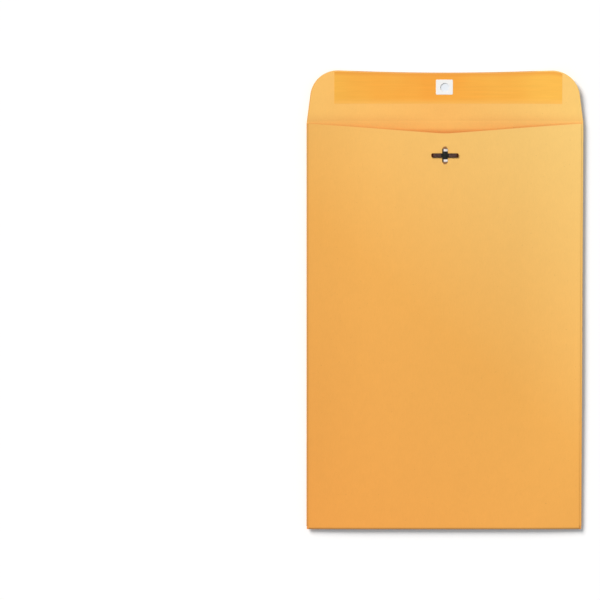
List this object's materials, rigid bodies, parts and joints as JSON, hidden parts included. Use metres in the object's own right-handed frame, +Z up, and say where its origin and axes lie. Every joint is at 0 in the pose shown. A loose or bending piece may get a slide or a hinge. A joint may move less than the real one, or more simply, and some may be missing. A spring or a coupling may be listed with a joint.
{
  "type": "paper envelope",
  "caption": "Flat kraft paper clasp envelope, flap opened out, with a gummed band, a patched flap hole and a metal clasp whose prongs bend up to hold the flap.",
  "frame": {"origin": "middle of the underside of the opened-out envelope, on the surface that it lies on", "axes": "+X across the envelope to the right, +Y from the bottom fold to the flap's edge, +Z up out of the back panel that carries the clasp"},
  "size_m": [0.254, 0.428, 0.0079],
  "materials": {
    "kraft": "machine-finished golden brown kraft paper, matt with a faint sheen",
    "gum": "dried remoistenable gum, slightly glossy and deeper in colour than the paper under it",
    "patch": "matt white paper",
    "tinplate": "stamped tinplate, dulled and browned, bright where the anchor plate shows"
  },
  "bodies": {
    "sheet": {"envelope": "kraft", "flap_gum": "gum", "hole_patch": "patch", "clasp_anchor": "tinplate"},
    "prong_left": {"clasp_prong_left": "tinplate"},
    "prong_right": {"clasp_prong_right": "tinplate"}
  },
  "joints": [
    {"name": "prong_left_bend", "type": "hinge", "parent": "sheet", "child": "prong_left", "pos_m": [-0.0024, 0.136, 0.0074], "axis": [0, 1, 0], "range_deg": [0, 90]},
    {"name": "prong_right_bend", "type": "hinge", "parent": "sheet", "child": "prong_right", "pos_m": [0.0024, 0.136, 0.0074], "axis": [0, -1, 0], "range_deg": [0, 90]}
  ]
}
